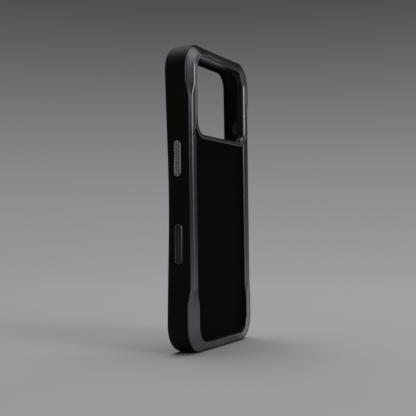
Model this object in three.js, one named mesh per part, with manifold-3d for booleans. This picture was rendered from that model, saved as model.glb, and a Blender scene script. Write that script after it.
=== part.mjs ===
// Rugged phone case: a soft bumper shell with a hard back, gunmetal edge trims with four corner
// guards, a raised camera ring, a magnet array, and five press buttons.
//
// Millimetres. X is the width seen from the decorated back, Y is the depth from the back (-Y) to the
// screen opening (+Y), and Z is up. Pieces are drawn about the middle of the case's height, with
// depth 0 on the ridge line of the trims, and the group at the end stands the case on z = 0.

import * as THREE from 'three';
import { mergeVertices } from 'three/addons/utils/BufferGeometryUtils.js';
import Module from 'manifold-3d';

const wasm = await Module();
wasm.setup();

// ---- driving dimensions -------------------------------------------------------------------------

const PHONE = { width: 71.9, height: 150.0, thickness: 8.75 };
const PHONE_CORNER = 10.7;
const POCKET_CLEARANCE = 0.1;

const CASE_HALF_WIDTH = 41.7; // at the corner guards
const CASE_HALF_HEIGHT = 78.2;
const CASE_CORNER = 14.2;
const SIDE_WAIST = 2.5; // how far the sides draw in between the guards, at the back
const LIP_WAIST = 2.2; // and at the lip
const LIP_TAPER = 0.7; // how far the sides lean in from the back to the lip
const TOP_WAIST = 0.4;

// Depths behind the screen side, from the ridge line of the trims.
const RING_TOP = -2.05;
const RING_CAP_BACK = RING_TOP + 0.35; // underside of the ring's flat cap
const RING_SEAT = -0.6; // foot of the skirt that lines the opening
const PANEL = { top: 0.4, bottom: 0.95 };
const CARRIER = { top: 1.05, step: 1.55, bottom: 2.1 };
const TRIM_BOTTOM = 1.45;
const MAGNET = { top: 1.1, bottom: 1.55 };
const LINING = { top: 2.15, bottom: 2.4 };
const GLASS = LINING.bottom + PHONE.thickness;
const LIP = GLASS + 1.0;
const LIP_RISE = 0.3; // the lip stands higher at the corners

// Windows in the back, seen square on.
const WINDOW = { halfWidth: 31.3, halfHeight: 73.5, corner: 9.0 };
const OPENING = { halfWidth: 31.0, bottom: 32.55, top: 72.4, corner: 7.8 };
const RING_WIDTH = { side: 2.2, bottom: 2.0, top: 0.8, corner: 1.2 };
const RING_SKIRT = 0.3; // the skirt's share of the ring's width
const RING_GAP = 0.3;

// Corner guards: the ridge runs beside the window on a guard and out on the rail between guards.
const RAIL_RIDGE = 35.0;
const HIGH_LIP = -0.9; // the trims' inner lip on the guards and beside the camera ring
const LOW_LIP = -0.15; // and beside the panel
const LIP_STEP = { start: 34.3, full: 34.9 };
const UPPER_GUARD = { full: 57.7, end: 51.2 };
const LOWER_GUARD = { full: -53.7, end: -45.7 };
const SEAM_X = 18.1; // where the guards meet the top and bottom strips
const SEAM_GAP = 0.3;

const BUTTON_DEPTH = 6.8;
const SIDE_WALL = CASE_HALF_WIDTH - SIDE_WAIST;
const BUTTONS = [
  { name: 'power', side: -1, z: 19.7, length: 18, width: 3.8, pad: 13.5, rise: 0.65 },
  { name: 'camera_control', side: -1, z: -23.3, length: 18.6, width: 2.6, pad: 16, rise: 0.1 },
  { name: 'action', side: 1, z: 42.3, length: 9.4, width: 3.8, pad: 7.8, rise: 0.6 },
  { name: 'volume_up', side: 1, z: 27.0, length: 11.6, width: 3.8, pad: 8.6, rise: 0.6 },
  { name: 'volume_down', side: 1, z: 12.4, length: 11.6, width: 3.8, pad: 8.6, rise: 0.6 },
];
const CAP_BACK = SIDE_WALL - 0.85;
const WEB = { outer: SIDE_WALL - 1.25, inner: SIDE_WALL - 1.65 }; // the thin wall behind a cap
const PAD = { inner: SIDE_WALL - 2.9, outer: SIDE_WALL - 2.35, width: 4.0 };
const STEM = { width: 1.8, short: 4 };
const BUTTON_GAP = 0.35;
const BEZEL = { length: 20.2, width: 4.2, wall: 0.5, proud: 0.3, back: SIDE_WALL - 1.1 };

const CONNECTOR = { halfWidth: 6.6, halfDepth: 3.2 };
const SOUND_SLOT = { centre: 17.0, halfWidth: 6.0, halfDepth: 1.3 };
const EYELET = { angle: 49.8, depth: 5.0, outer: 1.1, bore: 0.55, length: 2.4, gap: 0.2 };

const MAGNET_RING = { z: -8, inner: 23.0, outer: 27.2, count: 16, gapAngle: 1.4 };
const ALIGN_MAGNET = { halfWidth: 3.2, halfHeight: 9.5, z: -48.5 };

const ARC_SEGMENTS = 6;
const RIDGE_DEPTH_FROM_CENTRE = (LIP + LIP_RISE + RING_TOP) / 2;

// ---- materials ------------------------------------------------------------------------------------

function material(color, roughness, metalness) {
  return new THREE.MeshStandardMaterial({ color, roughness, metalness });
}

const RUBBER = material(0x151412, 0.75, 0);
const HARD_BLACK = material(0x101010, 0.55, 0);
const PANEL_BLACK = material(0x0d0d0d, 0.6, 0);
const GUNMETAL = material(0x4d5057, 0.38, 0.85);
const SILVER = material(0x9a9da3, 0.3, 1);
const GREY_PLASTIC = material(0x3a3b3d, 0.5, 0.1);
const LINING_CLOTH = material(0x1c1c1e, 0.95, 0);
const MAGNET_METAL = material(0x8d8f92, 0.35, 1);

// ---- solids: join, cut and read back ----------------------------------------------------------------

function solidOf(geometry) {
  const bare = geometry.clone();
  bare.deleteAttribute('normal');
  bare.deleteAttribute('uv');
  const merged = mergeVertices(bare, 1e-4);
  return new wasm.Manifold(new wasm.Mesh({
    numProp: 3,
    vertProperties: Float32Array.from(merged.attributes.position.array),
    triVerts: Uint32Array.from(merged.index.array),
  }));
}

function geometryOf(solid) {
  const mesh = solid.getMesh();
  const geometry = new THREE.BufferGeometry();
  geometry.setAttribute('position', new THREE.BufferAttribute(mesh.vertProperties, 3));
  geometry.setIndex(new THREE.BufferAttribute(mesh.triVerts, 1));
  geometry.computeVertexNormals();
  return geometry;
}

function cut(geometry, tools) {
  let solid = solidOf(geometry);
  for (const tool of tools) solid = solid.subtract(solidOf(tool));
  return geometryOf(solid);
}

function join(geometries) {
  let solid = solidOf(geometries[0]);
  for (const other of geometries.slice(1)) solid = solid.add(solidOf(other));
  return geometryOf(solid);
}

// ---- flat shapes and the three ways to extrude them -------------------------------------------------

function roundedRectangle(halfWidth, halfHeight, corner, centreX = 0, centreY = 0) {
  const x = halfWidth - corner;
  const y = halfHeight - corner;
  const quarter = Math.PI / 2;
  const shape = new THREE.Shape();
  shape.moveTo(centreX + halfWidth, centreY - y);
  shape.lineTo(centreX + halfWidth, centreY + y);
  shape.absarc(centreX + x, centreY + y, corner, 0, quarter);
  shape.absarc(centreX - x, centreY + y, corner, quarter, 2 * quarter);
  shape.absarc(centreX - x, centreY - y, corner, 2 * quarter, 3 * quarter);
  shape.absarc(centreX + x, centreY - y, corner, 3 * quarter, 4 * quarter);
  return shape;
}

function slot(halfWidth, halfLength, centreX, centreY) {
  const shape = new THREE.Shape();
  shape.absarc(centreX, centreY + halfLength - halfWidth, halfWidth, 0, Math.PI);
  shape.absarc(centreX, centreY - halfLength + halfWidth, halfWidth, Math.PI, 2 * Math.PI);
  return shape;
}

function ringSector(inner, outer, start, end, centreY) {
  const shape = new THREE.Shape();
  shape.absarc(0, centreY, outer, start, end, false);
  shape.absarc(0, centreY, inner, end, start, true);
  shape.closePath();
  return shape;
}

function extrude(shape, depth, segments = ARC_SEGMENTS) {
  return new THREE.ExtrudeGeometry(shape, { depth, bevelEnabled: false, curveSegments: segments });
}

// The shape lies in the plane of the back and runs from one depth to another.
function throughBack(shape, from, to, segments) {
  return extrude(shape, to - from, segments).rotateX(Math.PI / 2).translate(0, to, 0);
}

// The shape is drawn in depth and height, and runs across the case from one x to another.
const ACROSS = new THREE.Matrix4().set(0, 0, 1, 0, 1, 0, 0, 0, 0, 1, 0, 0, 0, 0, 0, 1);

function acrossSide(shape, from, to, segments) {
  return extrude(shape, to - from, segments).applyMatrix4(ACROSS).translate(from, 0, 0);
}

function slotOnSide(side, z, length, width, from, to) {
  const shape = slot(width / 2, length / 2, BUTTON_DEPTH, z);
  const low = Math.min(side * from, side * to);
  const high = Math.max(side * from, side * to);
  return acrossSide(shape, low, high, 8);
}

// ---- stations round the case, and lofts along them --------------------------------------------------

const SIDE_RUN = 64; // stations on a side run from -SIDE_RUN to SIDE_RUN
const END_RUN = 25;
const SIDE_Z = [-SIDE_RUN, -59, LOWER_GUARD.full, -49.7, LOWER_GUARD.end, -32, -16, 0, 16, LIP_STEP.start,
  LIP_STEP.full, UPPER_GUARD.end, 54.4, UPPER_GUARD.full, SIDE_RUN];
const END_X = [END_RUN, 18.7, 17.5, 8, -8, -17.5, -18.7, -END_RUN];
const CORNER_STEPS = 6;

function stationsRound() {
  const stations = [];
  const corner = (signX, signZ, forward) => {
    for (let i = 1; i < CORNER_STEPS; i += 1) {
      const step = forward ? i : CORNER_STEPS - i;
      stations.push({ kind: 'corner', signX, signZ, angle: (step / CORNER_STEPS) * Math.PI / 2 });
    }
  };
  for (const z of SIDE_Z) stations.push({ kind: 'side', signX: 1, z });
  corner(1, 1, true);
  for (const x of END_X) stations.push({ kind: 'end', signZ: 1, x });
  corner(-1, 1, false);
  for (const z of [...SIDE_Z].reverse()) stations.push({ kind: 'side', signX: -1, z });
  corner(-1, -1, true);
  for (const x of [...END_X].reverse()) stations.push({ kind: 'end', signZ: -1, x });
  corner(1, -1, false);
  return stations;
}

const STATIONS = stationsRound();

// A point on a rounded rectangle at a station. pull draws the point in towards the centre.
function onOutline(outline, station, pull = 0) {
  const { halfWidth, halfHeight, corner } = outline;
  const cx = halfWidth - corner;
  const cz = halfHeight - corner;
  if (station.kind === 'side') return [station.signX * (halfWidth - pull), station.z * cz / SIDE_RUN];
  if (station.kind === 'end') return [station.x * cx / END_RUN, station.signZ * (halfHeight - pull)];
  const x = cx + corner * Math.cos(station.angle);
  const z = cz + corner * Math.sin(station.angle);
  return [station.signX * x, station.signZ * z];
}

// section(station) gives the points [x, depth, z] of a closed section, and the loft joins them up.
function loftRound(section, stations = STATIONS) {
  const rows = stations.map(section);
  const count = rows[0].length;
  const positions = rows.flat(2);
  const index = [];
  for (let i = 0; i < rows.length; i += 1) {
    const next = (i + 1) % rows.length;
    for (let k = 0; k < count; k += 1) {
      const after = (k + 1) % count;
      const a = i * count + k;
      const b = next * count + k;
      const c = next * count + after;
      const d = i * count + after;
      index.push(a, c, b, a, d, c);
    }
  }
  const geometry = new THREE.BufferGeometry();
  geometry.setAttribute('position', new THREE.Float32BufferAttribute(positions, 3));
  geometry.setIndex(index);
  geometry.computeVertexNormals();
  return geometry;
}

function inset(outline, by) {
  return {
    halfWidth: outline.halfWidth - by,
    halfHeight: outline.halfHeight - by,
    corner: outline.corner - by,
  };
}

function halfway(a, b) {
  return {
    halfWidth: (a.halfWidth + b.halfWidth) / 2,
    halfHeight: (a.halfHeight + b.halfHeight) / 2,
    corner: (a.corner + b.corner) / 2,
  };
}

function ramp(value, from, to) {
  return Math.min(1, Math.max(0, (value - from) / (to - from)));
}

// 1 on a corner guard, 0 on the rail between guards, and a straight chamfer between.
function guardAt(station) {
  if (station.kind !== 'side') return 1;
  const upper = ramp(station.z, UPPER_GUARD.end, UPPER_GUARD.full);
  const lower = ramp(station.z, LOWER_GUARD.end, LOWER_GUARD.full);
  return Math.max(upper, lower);
}

// How far an outer point is drawn in: smooth at the lip, stepped beside the guards.
function waistAt(station, stepped) {
  if (station.kind === 'corner') return 0;
  if (station.kind === 'end') {
    return station.signZ > 0 ? TOP_WAIST * (1 - (station.x / END_RUN) ** 2) : 0;
  }
  const share = Math.abs(station.z / SIDE_RUN);
  const smooth = LIP_WAIST * (1 - (share ** 1.6 + (1 - Math.cos(Math.PI * share)) / 2) / 2);
  const step = SIDE_WAIST * (1 - guardAt(station));
  return stepped * step + (1 - stepped) * smooth;
}

// ---- the soft shell -------------------------------------------------------------------------------

const OUTER = { halfWidth: CASE_HALF_WIDTH, halfHeight: CASE_HALF_HEIGHT, corner: CASE_CORNER };
const POCKET = {
  halfWidth: PHONE.width / 2 + POCKET_CLEARANCE,
  halfHeight: PHONE.height / 2 + POCKET_CLEARANCE,
  corner: PHONE_CORNER,
};
const AT_LIP = { ...OUTER, halfWidth: CASE_HALF_WIDTH - LIP_TAPER };
const CARRIER_EDGE = { halfWidth: 33.3, halfHeight: 73.9, corner: 9.2 };
const RIM_WIDTH = 0.4;
const RIM = { rail: 0.35, guard: 0.95, strip: 0.65 }; // depth of the shell's back edge

function rimDepthAt(station) {
  const strip = station.kind === 'end' && Math.abs(station.x) < SEAM_X;
  return strip ? RIM.strip : RIM.rail + (RIM.guard - RIM.rail) * guardAt(station);
}

function shellSection(station) {
  const rim = rimDepthAt(station);
  const rise = LIP_RISE * (1 - waistAt(station, 0) / LIP_WAIST);
  const points = [
    [inset(OUTER, RIM_WIDTH), rim, 1],
    [inset(OUTER, 0.1), rim + 0.1, 1],
    [OUTER, rim + 0.5, 1],
    [halfway(OUTER, AT_LIP), BUTTON_DEPTH, 0.5],
    [AT_LIP, GLASS - 1.0, 0],
    [inset(AT_LIP, 0.25), GLASS + 0.4 + rise, 0],
    [inset(AT_LIP, 1.4), LIP + rise, 0],
  ].map(([outline, depth, stepped]) => {
    const [x, z] = onOutline(outline, station, waistAt(station, stepped));
    return [x, depth, z];
  });
  const inner = [
    [inset(POCKET, 0.8), LIP + rise],
    [inset(POCKET, 2.1), LIP - 0.4 + rise],
    [inset(POCKET, 1.9), GLASS + 0.15],
    [POCKET, GLASS + 0.05],
    [POCKET, CARRIER.bottom],
    [inset(CARRIER_EDGE, -RING_GAP), CARRIER.bottom],
    [inset(CARRIER_EDGE, -RING_GAP), CARRIER.step],
  ].map(([outline, depth]) => {
    const [x, z] = onOutline(outline, station);
    return [x, depth, z];
  });
  const [x, z] = onOutline(inset(OUTER, RIM_WIDTH), station, waistAt(station, 1));
  return [...points, ...inner, [x, CARRIER.step, z]];
}

function buttonHoles(button) {
  const { side, z, length, width, pad } = button;
  const bezelled = button.name === 'camera_control';
  const pocketLength = bezelled ? BEZEL.length + 0.2 : length + 2 * BUTTON_GAP;
  const pocketWidth = bezelled ? BEZEL.width + 0.2 : width + 2 * BUTTON_GAP;
  const stemLength = pad - STEM.short + 2 * BUTTON_GAP;
  return [
    slotOnSide(side, z, pocketLength, pocketWidth, WEB.outer, CASE_HALF_WIDTH + 1),
    slotOnSide(side, z, stemLength, STEM.width + 2 * BUTTON_GAP, WEB.inner - 0.1, WEB.outer + 0.1),
    slotOnSide(side, z, pad + 2 * BUTTON_GAP, PAD.width + 2 * BUTTON_GAP, PAD.inner - 0.6, WEB.inner),
  ];
}

function bottomCut(halfWidth, halfDepth, centreX) {
  const middle = (LINING.bottom + GLASS) / 2;
  const wall = CASE_HALF_HEIGHT - POCKET.halfHeight;
  const hole = extrude(slot(halfDepth, halfWidth, 0, 0), wall + 2, 8).rotateZ(Math.PI / 2);
  return hole.translate(centreX, middle, -CASE_HALF_HEIGHT - 1);
}

// A rod's axis leaves the corner centre of the pocket at the eyelet's angle.
function eyeletFrame(geometry, radius) {
  const angle = THREE.MathUtils.degToRad(EYELET.angle);
  const cx = POCKET.halfWidth - POCKET.corner;
  const cz = POCKET.halfHeight - POCKET.corner;
  const turned = geometry.rotateZ(-Math.PI / 2).rotateY(-angle);
  return turned.translate(cx + radius * Math.cos(angle), EYELET.depth, cz + radius * Math.sin(angle));
}

function bumperShell() {
  const hole = new THREE.CylinderGeometry(EYELET.outer + EYELET.gap, EYELET.outer + EYELET.gap, 8, 12);
  const tools = [
    ...BUTTONS.flatMap(buttonHoles),
    bottomCut(CONNECTOR.halfWidth, CONNECTOR.halfDepth, 0),
    bottomCut(SOUND_SLOT.halfWidth, SOUND_SLOT.halfDepth, SOUND_SLOT.centre),
    bottomCut(SOUND_SLOT.halfWidth, SOUND_SLOT.halfDepth, -SOUND_SLOT.centre),
    eyeletFrame(hole, POCKET.corner + 2),
  ];
  return cut(loftRound(shellSection), tools);
}

function strapEyelet() {
  const { outer, bore, length } = EYELET;
  const half = length / 2;
  const profile = [[bore, -half], [outer, -half], [outer, half], [bore, half], [bore, -half]];
  const points = profile.map(([radius, along]) => new THREE.Vector2(radius, along));
  return eyeletFrame(new THREE.LatheGeometry(points, 12), POCKET.corner + 0.2 + half);
}

// ---- the hard back ----------------------------------------------------------------------------------

// The camera opening's outline when share is 0, the ring's outer edge when it is 1, grown by extra.
function cameraOutline(share, extra = 0) {
  const halfWidth = OPENING.halfWidth + RING_WIDTH.side * share + extra;
  const bottom = OPENING.bottom - RING_WIDTH.bottom * share - extra;
  const top = OPENING.top + RING_WIDTH.top * share + extra;
  const corner = OPENING.corner + RING_WIDTH.corner * share + extra;
  return roundedRectangle(halfWidth, (top - bottom) / 2, corner, 0, (top + bottom) / 2);
}

// The plate behind the phone, with a plateau for the panel, a stepped wall round the cameras that the
// ring caps, and a recess for the magnets.
function backCarrier() {
  const flange = roundedRectangle(
    CARRIER_EDGE.halfWidth, CARRIER_EDGE.halfHeight, CARRIER_EDGE.corner,
  );
  const plateau = roundedRectangle(WINDOW.halfWidth - 0.2, WINDOW.halfHeight - 0.2, WINDOW.corner);
  const body = join([
    throughBack(flange, CARRIER.step, CARRIER.bottom),
    throughBack(plateau, CARRIER.top, CARRIER.step + 0.1),
    throughBack(cameraOutline(1, -0.1), RING_CAP_BACK + 0.05, CARRIER.step + 0.1),
  ]);
  const recess = (MAGNET.bottom - MAGNET.top) + 0.1;
  const ring = ringSector(MAGNET_RING.inner - 0.3, MAGNET_RING.outer + 0.3, 0, Math.PI, MAGNET_RING.z);
  const ringBelow = ringSector(
    MAGNET_RING.inner - 0.3, MAGNET_RING.outer + 0.3, Math.PI, 2 * Math.PI, MAGNET_RING.z,
  );
  const bar = roundedRectangle(
    ALIGN_MAGNET.halfWidth + 0.3, ALIGN_MAGNET.halfHeight + 0.3, 1, 0, ALIGN_MAGNET.z,
  );
  return cut(body, [
    throughBack(cameraOutline(0), RING_TOP - 1, CARRIER.bottom + 1),
    throughBack(cameraOutline(RING_SKIRT, 0.05), RING_TOP - 1, RING_SEAT + 0.05),
    throughBack(ring, CARRIER.top - 1, CARRIER.top + recess, 12),
    throughBack(ringBelow, CARRIER.top - 1, CARRIER.top + recess, 12),
    throughBack(bar, CARRIER.top - 1, CARRIER.top + recess, 4),
  ]);
}

// The panel stops at the camera ring, and its top corners reach up beside the ring's lower corners.
function backPanel() {
  const top = OPENING.bottom + OPENING.corner;
  const halfHeight = (WINDOW.halfHeight - 0.2 + top) / 2;
  const shape = roundedRectangle(
    WINDOW.halfWidth - 0.25, halfHeight, WINDOW.corner - 0.2, 0, top - halfHeight,
  );
  const upper = new THREE.BoxGeometry(2 * (WINDOW.halfWidth - 0.25), PANEL.bottom - PANEL.top, 24);
  upper.translate(0, (PANEL.top + PANEL.bottom) / 2, top - 12);
  const body = join([throughBack(shape, PANEL.top, PANEL.bottom), upper]);
  return cut(body, [throughBack(cameraOutline(1, RING_GAP), PANEL.top - 1, PANEL.bottom + 1)]);
}

function lining() {
  const edge = inset(POCKET, 0.4);
  const shape = roundedRectangle(edge.halfWidth, edge.halfHeight, edge.corner);
  const sheet = throughBack(shape, LINING.top, LINING.bottom);
  return cut(sheet, [throughBack(cameraOutline(0, 0.25), LINING.top - 1, LINING.bottom + 1)]);
}

// The ring's section steps out from the opening: a skirt inside the carrier's wall, and a cap on it.
function cameraRing() {
  const steps = [
    [0, RING_SEAT], [0, RING_TOP + 0.5], [RING_SKIRT, RING_TOP], [0.85, RING_TOP],
    [1, RING_TOP + 0.2], [1, RING_CAP_BACK], [RING_SKIRT, RING_CAP_BACK], [RING_SKIRT, RING_SEAT],
  ];
  const outlines = steps.map(([share, depth]) => ({
    points: cameraOutline(share).getPoints(6),
    depth,
  }));
  const stations = outlines[0].points.slice(0, -1).map((_, i) => i);
  return loftRound((i) => outlines.map(({ points, depth }) => [points[i].x, depth, points[i].y]),
    stations);
}

// ---- trims and guards -------------------------------------------------------------------------------

const BESIDE_RING = {
  halfWidth: OPENING.halfWidth + RING_WIDTH.side + RING_GAP + 0.05,
  halfHeight: WINDOW.halfHeight,
  corner: WINDOW.corner + RING_GAP,
};
const TRIM_EDGE = inset(OUTER, RIM_WIDTH + 0.1);

function alongRail(x) {
  return inset(WINDOW, WINDOW.halfWidth - x);
}

// Each point of the trim's section: [x, depth] on the rail beside the panel and beside the ring, and
// [distance from the guard's inner edge, depth] on a guard.
const LIP_POINTS = [
  { rail: [WINDOW.halfWidth, LOW_LIP + 0.2], ring: [WINDOW.halfWidth, HIGH_LIP + 0.15],
    guard: [0, HIGH_LIP + 0.15] },
  { rail: [WINDOW.halfWidth + 0.2, LOW_LIP], ring: [WINDOW.halfWidth + 0.2, HIGH_LIP],
    guard: [0.15, HIGH_LIP] },
  { rail: [RAIL_RIDGE - 1.7, LOW_LIP + 0.15], ring: [RAIL_RIDGE - 1.1, HIGH_LIP], guard: [0.25, HIGH_LIP] },
  { rail: [RAIL_RIDGE - 1.3, 0.12], ring: [RAIL_RIDGE - 0.7, 0.05], guard: [0.35, HIGH_LIP] },
  { rail: [RAIL_RIDGE - 0.2, 0], ring: [RAIL_RIDGE - 0.2, 0], guard: [0.45, HIGH_LIP] },
  { rail: [RAIL_RIDGE + 0.1, 0], ring: [RAIL_RIDGE + 0.1, 0], guard: [0.6, HIGH_LIP] },
  { rail: [RAIL_RIDGE + 0.35, 0.28], ring: [RAIL_RIDGE + 0.35, 0.28], guard: [0.85, HIGH_LIP + 0.24] },
];
const SLOPE = { x: RAIL_RIDGE + 1.9, rail: 0.32, guard: 0.2 }; // midway down to the outer edge

function trimPoints(guardWindow) {
  const inner = LIP_POINTS.map(({ rail, ring, guard }) => ({
    rail: [alongRail(rail[0]), rail[1]],
    ring: [alongRail(ring[0]), ring[1]],
    guard: [inset(guardWindow, -guard[0]), guard[1]],
  }));
  const middle = halfway(inner.at(-1).guard[0], TRIM_EDGE);
  const slope = { rail: [alongRail(SLOPE.x), SLOPE.rail], guard: [middle, SLOPE.guard] };
  const edge = { rail: [TRIM_EDGE, RIM.rail + 0.05], guard: [TRIM_EDGE, RIM.guard + 0.05], outer: true };
  const foot = { rail: [TRIM_EDGE, TRIM_BOTTOM], guard: [TRIM_EDGE, TRIM_BOTTOM], outer: true };
  const back = { rail: [WINDOW, TRIM_BOTTOM], guard: [guardWindow, TRIM_BOTTOM] };
  return [...inner, slope, edge, foot, back];
}

const UPPER_TRIM = trimPoints(BESIDE_RING);
const LOWER_TRIM = trimPoints(WINDOW);

function trimSection(station) {
  const guard = guardAt(station);
  const upper = (station.kind === 'side' ? station.z : station.signZ) > 0;
  const besideRing = upper && station.kind === 'side' ? ramp(station.z, LIP_STEP.start, LIP_STEP.full) : 0;
  const mix = (a, b, share) => a + (b - a) * share;
  return (upper ? UPPER_TRIM : LOWER_TRIM).map((point) => {
    const pull = point.outer ? waistAt(station, 1) : 0;
    const ring = point.ring ?? point.rail;
    const [xPanel, zPanel] = onOutline(point.rail[0], station, pull);
    const [xRing, zRing] = onOutline(ring[0], station, pull);
    const [xGuard, zGuard] = onOutline(point.guard[0], station, pull);
    const xRail = mix(xPanel, xRing, besideRing);
    const zRail = mix(zPanel, zRing, besideRing);
    const railDepth = mix(point.rail[1], ring[1], besideRing);
    return [mix(xRail, xGuard, guard), mix(railDepth, point.guard[1], guard), mix(zRail, zGuard, guard)];
  });
}

// One trim is a rail with its two guards, and it wraps round to the seams on the top and bottom.
function trimFrame(side) {
  const far = 100;
  const away = new THREE.BoxGeometry(far, far, 4 * far);
  away.translate(side * (SEAM_X + SEAM_GAP / 2 - far / 2), 0, 0);
  return cut(loftRound(trimSection), [
    away,
    throughBack(cameraOutline(1, RING_GAP), RING_TOP - 1, TRIM_BOTTOM + 1),
  ]);
}

function endStrip(sign) {
  const inner = WINDOW.halfHeight + 0.1;
  const waist = sign > 0 ? TOP_WAIST : 0;
  const outer = CASE_HALF_HEIGHT - waist - RIM_WIDTH - 0.1;
  const outline = [
    [TRIM_BOTTOM, inner], [TRIM_BOTTOM, outer], [RIM.strip + 0.1, outer], [0.15, (inner + outer) / 2],
    [HIGH_LIP + 0.24, inner + 0.85], [HIGH_LIP, inner + 0.6], [HIGH_LIP, inner + 0.15],
    [HIGH_LIP + 0.15, inner],
  ];
  const shape = new THREE.Shape(outline.map(([depth, z]) => new THREE.Vector2(depth, sign * z)));
  return acrossSide(shape, -SEAM_X + SEAM_GAP / 2, SEAM_X - SEAM_GAP / 2);
}

// ---- buttons ----------------------------------------------------------------------------------------

function buttonCap(button) {
  const { side, z, length, width, rise } = button;
  const bevel = 0.25;
  const shape = slot(width / 2 - bevel, length / 2 - bevel, BUTTON_DEPTH, z);
  const back = button.name === 'camera_control' ? CAP_BACK - 0.2 : CAP_BACK;
  const cap = new THREE.ExtrudeGeometry(shape, {
    depth: SIDE_WALL + rise - back - 2 * bevel,
    bevelSize: bevel,
    bevelThickness: bevel,
    bevelSegments: 1,
    curveSegments: 8,
  });
  const start = side > 0 ? back + bevel : -(SIDE_WALL + rise) + bevel;
  return cap.applyMatrix4(ACROSS).translate(start, 0, 0);
}

function buttonPlunger(button) {
  const { side, z, pad } = button;
  const back = button.name === 'camera_control' ? CAP_BACK - 0.2 : CAP_BACK;
  return join([
    slotOnSide(side, z, pad, PAD.width, PAD.inner, PAD.outer),
    slotOnSide(side, z, pad - STEM.short, STEM.width, PAD.outer - 0.2, back - 0.05),
  ]);
}

function controlBezel() {
  const { side, z } = BUTTONS.find(({ name }) => name === 'camera_control');
  const { length, width, wall, proud, back } = BEZEL;
  const body = slotOnSide(side, z, length, width, back, SIDE_WALL + proud);
  const bore = slotOnSide(side, z, length - 2 * wall, width - 2 * wall, back - 1, SIDE_WALL + 2);
  return cut(body, [bore]);
}

// ---- magnets ----------------------------------------------------------------------------------------

function ringMagnet(number) {
  const pitch = 2 * Math.PI / MAGNET_RING.count;
  const gap = THREE.MathUtils.degToRad(MAGNET_RING.gapAngle) / 2;
  const start = number * pitch + gap;
  const shape = ringSector(
    MAGNET_RING.inner, MAGNET_RING.outer, start, start + pitch - 2 * gap, MAGNET_RING.z,
  );
  return throughBack(shape, MAGNET.top, MAGNET.bottom, 3);
}

function alignmentMagnet() {
  const shape = roundedRectangle(
    ALIGN_MAGNET.halfWidth, ALIGN_MAGNET.halfHeight, 0.8, 0, ALIGN_MAGNET.z,
  );
  return throughBack(shape, MAGNET.top, MAGNET.bottom, 3);
}

// ---- the case ---------------------------------------------------------------------------------------

const phoneCase = new THREE.Group();
phoneCase.position.set(0, -RIDGE_DEPTH_FROM_CENTRE, CASE_HALF_HEIGHT);

function addPiece(parent, name, geometry, look) {
  const mesh = new THREE.Mesh(geometry, look);
  mesh.name = name;
  parent.add(mesh);
}

addPiece(phoneCase, 'bumper_shell', bumperShell(), RUBBER);
addPiece(phoneCase, 'back_carrier', backCarrier(), HARD_BLACK);
addPiece(phoneCase, 'back_panel', backPanel(), PANEL_BLACK);
addPiece(phoneCase, 'lining', lining(), LINING_CLOTH);
addPiece(phoneCase, 'trim_frame_left', trimFrame(-1), GUNMETAL);
addPiece(phoneCase, 'trim_frame_right', trimFrame(1), GUNMETAL);
addPiece(phoneCase, 'top_strip', endStrip(1), GUNMETAL);
addPiece(phoneCase, 'bottom_strip', endStrip(-1), GUNMETAL);
addPiece(phoneCase, 'camera_ring', cameraRing(), GUNMETAL);
addPiece(phoneCase, 'strap_eyelet', strapEyelet(), GREY_PLASTIC);
addPiece(phoneCase, 'camera_control_bezel', controlBezel(), GREY_PLASTIC);

for (const button of BUTTONS) {
  const assembly = new THREE.Group();
  const look = button.name === 'camera_control' ? GREY_PLASTIC : SILVER;
  addPiece(assembly, `${button.name}_button_cap`, buttonCap(button), look);
  addPiece(assembly, `${button.name}_button_plunger`, buttonPlunger(button), GREY_PLASTIC);
  phoneCase.add(assembly);
}

const magnetArray = new THREE.Group();
for (let number = 0; number < MAGNET_RING.count; number += 1) {
  const name = `ring_magnet_${String(number + 1).padStart(2, '0')}`;
  addPiece(magnetArray, name, ringMagnet(number), MAGNET_METAL);
}
addPiece(magnetArray, 'alignment_magnet', alignmentMagnet(), MAGNET_METAL);
phoneCase.add(magnetArray);

export default phoneCase;
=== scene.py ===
"""Looks for the rugged phone case: smooth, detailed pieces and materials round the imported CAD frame.

Pieces are drawn in millimetres in the case's own drawing frame: X is the width, Y the depth from the
ridge line of the trims towards the screen, and Z the height from the middle. place() turns a finished
mesh into metres in the row frame.
"""

import math

import bmesh
import bpy
import numpy as np
from mathutils import Matrix, Vector


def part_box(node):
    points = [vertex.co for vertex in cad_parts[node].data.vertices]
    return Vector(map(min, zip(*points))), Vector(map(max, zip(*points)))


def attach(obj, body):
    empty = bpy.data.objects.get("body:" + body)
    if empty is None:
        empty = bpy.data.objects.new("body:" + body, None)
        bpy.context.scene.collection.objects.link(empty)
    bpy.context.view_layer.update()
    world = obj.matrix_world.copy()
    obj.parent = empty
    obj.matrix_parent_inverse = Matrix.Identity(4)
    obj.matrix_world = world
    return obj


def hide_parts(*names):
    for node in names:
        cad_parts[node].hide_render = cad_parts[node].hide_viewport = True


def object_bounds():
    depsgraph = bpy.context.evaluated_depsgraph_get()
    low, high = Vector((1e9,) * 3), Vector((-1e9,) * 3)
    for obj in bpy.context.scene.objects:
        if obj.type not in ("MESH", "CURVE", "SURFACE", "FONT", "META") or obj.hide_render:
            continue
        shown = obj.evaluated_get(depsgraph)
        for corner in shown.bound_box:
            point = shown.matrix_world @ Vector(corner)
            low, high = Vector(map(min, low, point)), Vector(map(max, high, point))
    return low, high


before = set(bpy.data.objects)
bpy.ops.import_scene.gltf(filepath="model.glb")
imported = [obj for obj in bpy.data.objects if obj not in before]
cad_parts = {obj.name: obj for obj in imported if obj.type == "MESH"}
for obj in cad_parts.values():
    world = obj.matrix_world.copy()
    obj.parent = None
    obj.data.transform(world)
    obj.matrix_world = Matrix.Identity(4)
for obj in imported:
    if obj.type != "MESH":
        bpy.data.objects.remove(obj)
CAD_LOW, CAD_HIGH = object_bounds()
MM = 0.001
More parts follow.
